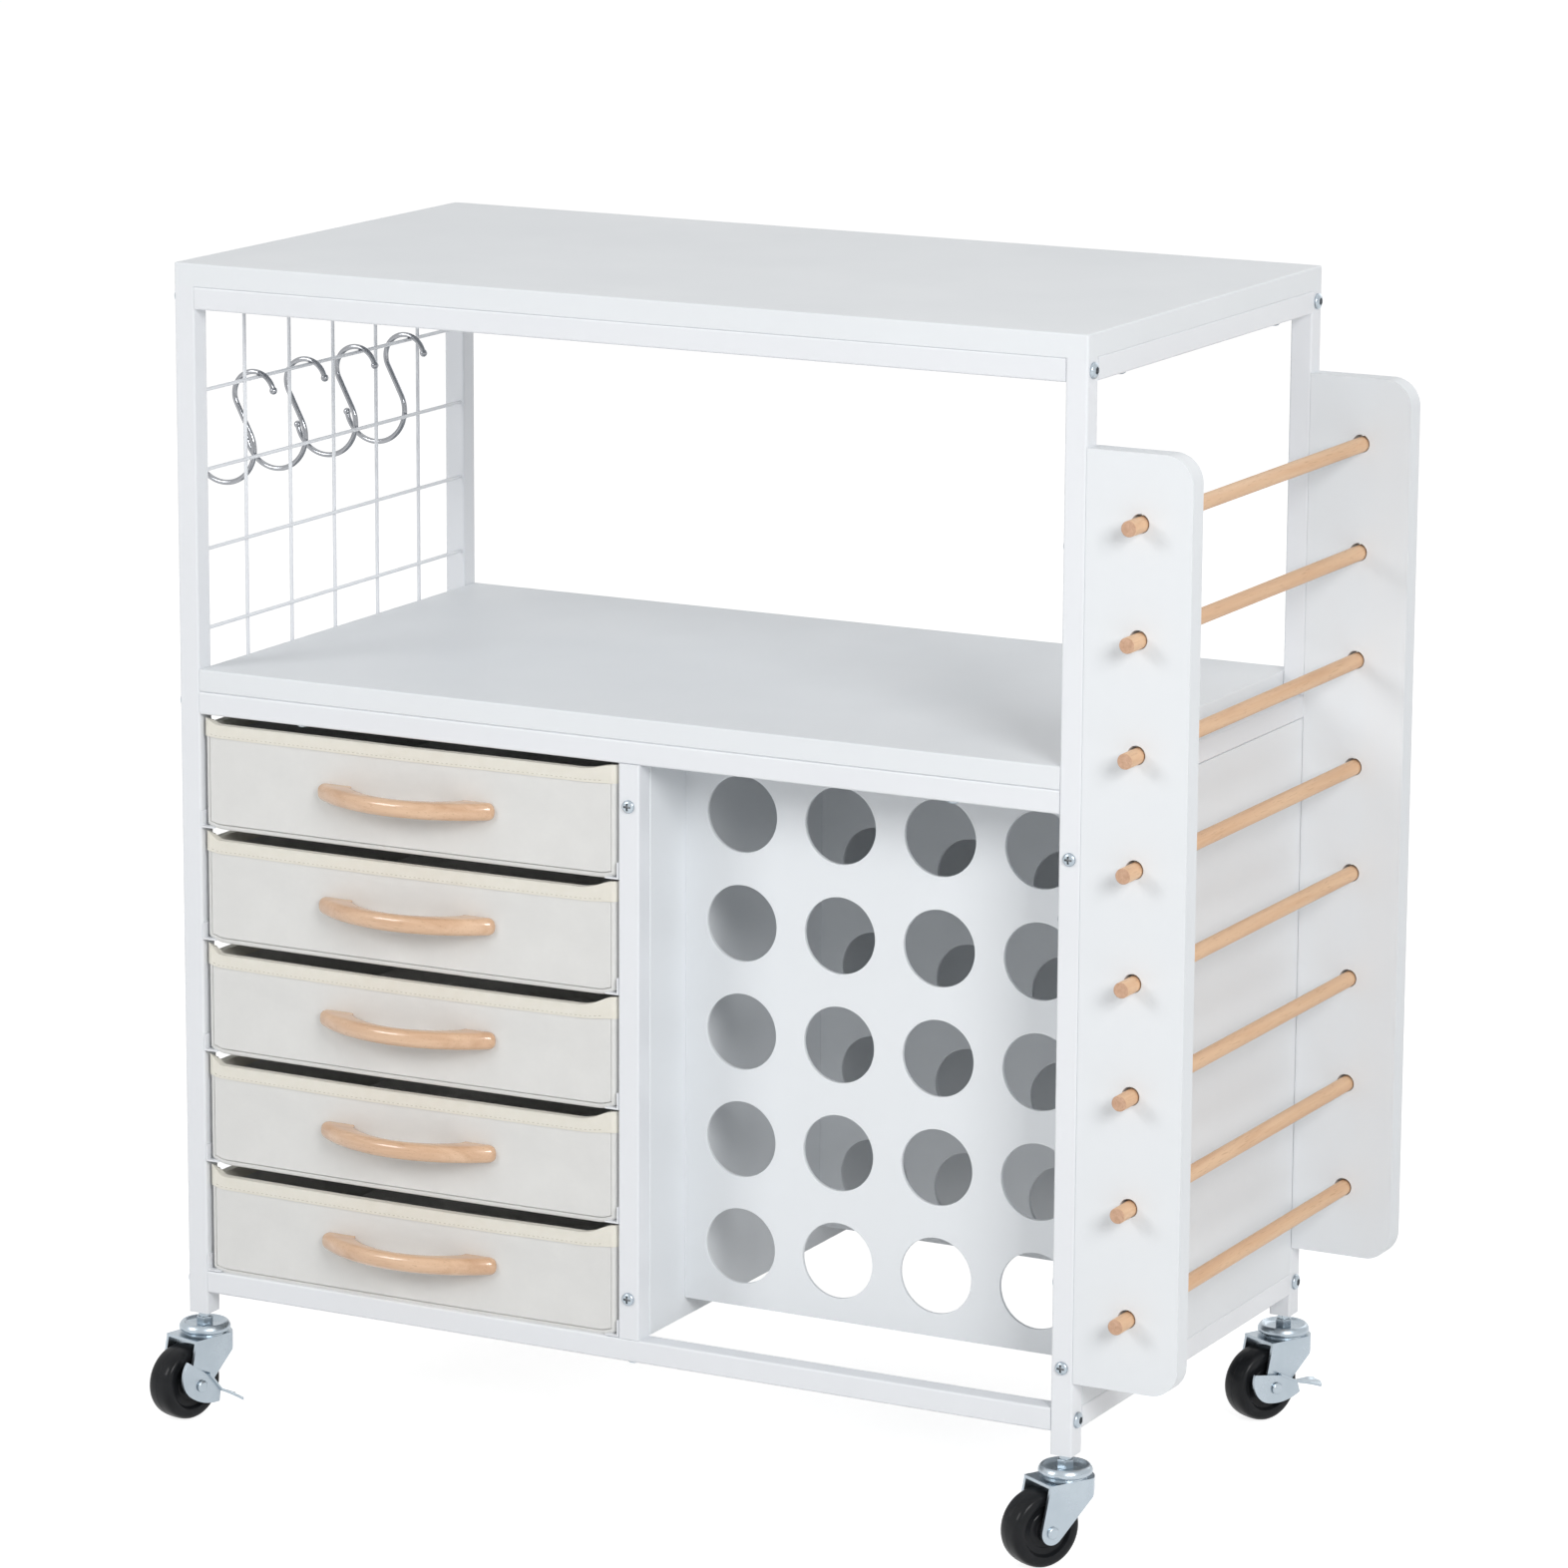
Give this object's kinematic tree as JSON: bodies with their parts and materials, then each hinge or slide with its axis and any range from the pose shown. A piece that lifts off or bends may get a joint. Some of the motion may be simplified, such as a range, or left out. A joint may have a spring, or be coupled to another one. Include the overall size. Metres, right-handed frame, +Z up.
{
  "type": "rolling craft cart",
  "caption": "White square-tube craft cart on casters with two boards, fabric drawers, a bay of round holes for rolls, spool dowels and a wire side grid with hooks.",
  "frame": {"origin": "centre of the whole cart's box, on the floor that the wheels stand on", "axes": "+X to the cart's right where the spool dowels are, +Y to the back, +Z up; the drawers open along -Y"},
  "size_m": [0.7604, 0.4098, 0.774],
  "materials": {
    "frame_paint": "satin white powder coat",
    "board_white": "smooth white laminate on board",
    "drawer_fabric": "matt off-white woven fabric with a cream bound rim",
    "handle_wood": "clear glossy lacquer on pale wood",
    "dowel_wood": "bare pale wood",
    "zinc_steel": "bright zinc plating",
    "hook_chrome": "polished",
    "insert_plastic": "plain moulded",
    "wheel_black": "glossy moulded"
  },
  "bodies": {
    "cart": {"left_side_frame": "frame_paint", "right_side_frame": "frame_paint", "top_front_rail": "frame_paint", "top_rear_rail": "frame_paint", "shelf_front_rail": "frame_paint", "shelf_rear_rail": "frame_paint", "bottom_front_rail": "frame_paint", "bottom_rear_rail": "frame_paint", "front_middle_post": "frame_paint", "rear_middle_post": "frame_paint", "top_board": "board_white", "shelf_board": "board_white", "right_side_panel": "board_white", "divider_panel": "board_white", "front_roll_board": "board_white", "rear_roll_board": "board_white", "back_panel": "board_white", "front_dowel_panel": "board_white", "rear_dowel_panel": "board_white", "wire_grid": "frame_paint", "drawer_runners": "frame_paint", "frame_bolts": "zinc_steel", "panel_screws": "zinc_steel", "tube_inserts": "insert_plastic", "caster_stems": "zinc_steel"},
    "drawer_1": {"drawer_1": "drawer_fabric", "handle_1": "handle_wood"},
    "drawer_2": {"drawer_2": "drawer_fabric", "handle_2": "handle_wood"},
    "drawer_3": {"drawer_3": "drawer_fabric", "handle_3": "handle_wood"},
    "drawer_4": {"drawer_4": "drawer_fabric", "handle_4": "handle_wood"},
    "drawer_5": {"drawer_5": "drawer_fabric", "handle_5": "handle_wood"},
    "dowel_1": {"dowel_1": "dowel_wood"},
    "dowel_2": {"dowel_2": "dowel_wood"},
    "dowel_3": {"dowel_3": "dowel_wood"},
    "dowel_4": {"dowel_4": "dowel_wood"},
    "dowel_5": {"dowel_5": "dowel_wood"},
    "dowel_6": {"dowel_6": "dowel_wood"},
    "dowel_7": {"dowel_7": "dowel_wood"},
    "dowel_8": {"dowel_8": "dowel_wood"},
    "hook_1": {"hook_1": "hook_chrome"},
    "hook_2": {"hook_2": "hook_chrome"},
    "hook_3": {"hook_3": "hook_chrome"},
    "hook_4": {"hook_4": "hook_chrome"},
    "caster_front_left": {"fork_front_left": "zinc_steel"},
    "wheel_front_left": {"wheel_front_left": "wheel_black"},
    "brake_front_left": {"brake_front_left": "zinc_steel"},
    "caster_front_right": {"fork_front_right": "zinc_steel"},
    "wheel_front_right": {"wheel_front_right": "wheel_black"},
    "caster_rear_left": {"fork_rear_left": "zinc_steel"},
    "wheel_rear_left": {"wheel_rear_left": "wheel_black"},
    "caster_rear_right": {"fork_rear_right": "zinc_steel"},
    "wheel_rear_right": {"wheel_rear_right": "wheel_black"},
    "brake_rear_right": {"brake_rear_right": "zinc_steel"}
  },
  "joints": [
    {"name": "drawer_1_slide", "type": "slide", "parent": "cart", "child": "drawer_1", "axis": [0, -1, 0], "range_m": [0, 0.26]},
    {"name": "drawer_2_slide", "type": "slide", "parent": "cart", "child": "drawer_2", "axis": [0, -1, 0], "range_m": [0, 0.26]},
    {"name": "drawer_3_slide", "type": "slide", "parent": "cart", "child": "drawer_3", "axis": [0, -1, 0], "range_m": [0, 0.26]},
    {"name": "drawer_4_slide", "type": "slide", "parent": "cart", "child": "drawer_4", "axis": [0, -1, 0], "range_m": [0, 0.26]},
    {"name": "drawer_5_slide", "type": "slide", "parent": "cart", "child": "drawer_5", "axis": [0, -1, 0], "range_m": [0, 0.26]},
    {"name": "dowel_1_pull", "type": "slide", "parent": "cart", "child": "dowel_1", "axis": [0, -1, 0], "range_m": [-0.34, 0.34]},
    {"name": "dowel_2_pull", "type": "slide", "parent": "cart", "child": "dowel_2", "axis": [0, -1, 0], "range_m": [-0.34, 0.34]},
    {"name": "dowel_3_pull", "type": "slide", "parent": "cart", "child": "dowel_3", "axis": [0, -1, 0], "range_m": [-0.34, 0.34]},
    {"name": "dowel_4_pull", "type": "slide", "parent": "cart", "child": "dowel_4", "axis": [0, -1, 0], "range_m": [-0.34, 0.34]},
    {"name": "dowel_5_pull", "type": "slide", "parent": "cart", "child": "dowel_5", "axis": [0, -1, 0], "range_m": [-0.34, 0.34]},
    {"name": "dowel_6_pull", "type": "slide", "parent": "cart", "child": "dowel_6", "axis": [0, -1, 0], "range_m": [-0.34, 0.34]},
    {"name": "dowel_7_pull", "type": "slide", "parent": "cart", "child": "dowel_7", "axis": [0, -1, 0], "range_m": [-0.34, 0.34]},
    {"name": "dowel_8_pull", "type": "slide", "parent": "cart", "child": "dowel_8", "axis": [0, -1, 0], "range_m": [-0.34, 0.34]},
    {"name": "hook_1_swing", "type": "hinge", "parent": "cart", "child": "hook_1", "pos_m": [-0.32832, -0.08808, 0.6895], "axis": [0, 1, 0], "range_deg": [0, 60]},
    {"name": "hook_2_swing", "type": "hinge", "parent": "cart", "child": "hook_2", "pos_m": [-0.32832, -0.02407, 0.6895], "axis": [0, 1, 0], "range_deg": [0, 60]},
    {"name": "hook_3_swing", "type": "hinge", "parent": "cart", "child": "hook_3", "pos_m": [-0.32832, 0.03993, 0.6895], "axis": [0, 1, 0], "range_deg": [0, 60]},
    {"name": "hook_4_swing", "type": "hinge", "parent": "cart", "child": "hook_4", "pos_m": [-0.32832, 0.10393, 0.6895], "axis": [0, 1, 0], "range_deg": [0, 60]},
    {"name": "caster_front_left_swivel", "type": "hinge", "parent": "cart", "child": "caster_front_left", "pos_m": [-0.33282, -0.16057, 0.0576], "axis": [0, 0, 1], "continuous": true},
    {"name": "wheel_front_left_spin", "type": "hinge", "parent": "caster_front_left", "child": "wheel_front_left", "pos_m": [-0.33774, -0.17893, 0.025], "axis": [0.9659, -0.2588, 0], "continuous": true},
    {"name": "brake_front_left_pedal", "type": "hinge", "parent": "caster_front_left", "child": "brake_front_left", "pos_m": [-0.33774, -0.17893, 0.025], "axis": [0.9659, -0.2588, 0], "range_deg": [0, 25]},
    {"name": "caster_front_right_swivel", "type": "hinge", "parent": "cart", "child": "caster_front_right", "pos_m": [0.30218, -0.16057, 0.0576], "axis": [0, 0, 1], "continuous": true},
    {"name": "wheel_front_right_spin", "type": "hinge", "parent": "caster_front_right", "child": "wheel_front_right", "pos_m": [0.29268, -0.17703, 0.025], "axis": [0.866, -0.5, 0], "continuous": true},
    {"name": "caster_rear_left_swivel", "type": "hinge", "parent": "cart", "child": "caster_rear_left", "pos_m": [-0.33282, 0.18043, 0.0576], "axis": [0, 0, 1], "continuous": true},
    {"name": "wheel_rear_left_spin", "type": "hinge", "parent": "caster_rear_left", "child": "wheel_rear_left", "pos_m": [-0.33994, 0.16281, 0.025], "axis": [0.9272, -0.3746, 0], "continuous": true},
    {"name": "caster_rear_right_swivel", "type": "hinge", "parent": "cart", "child": "caster_rear_right", "pos_m": [0.30218, 0.18043, 0.0576], "axis": [0, 0, 1], "continuous": true},
    {"name": "wheel_rear_right_spin", "type": "hinge", "parent": "caster_rear_right", "child": "wheel_rear_right", "pos_m": [0.29355, 0.1635, 0.025], "axis": [0.891, -0.454, 0], "continuous": true},
    {"name": "brake_rear_right_pedal", "type": "hinge", "parent": "caster_rear_right", "child": "brake_rear_right", "pos_m": [0.29355, 0.1635, 0.025], "axis": [0.891, -0.454, 0], "range_deg": [-25, 0]}
  ]
}
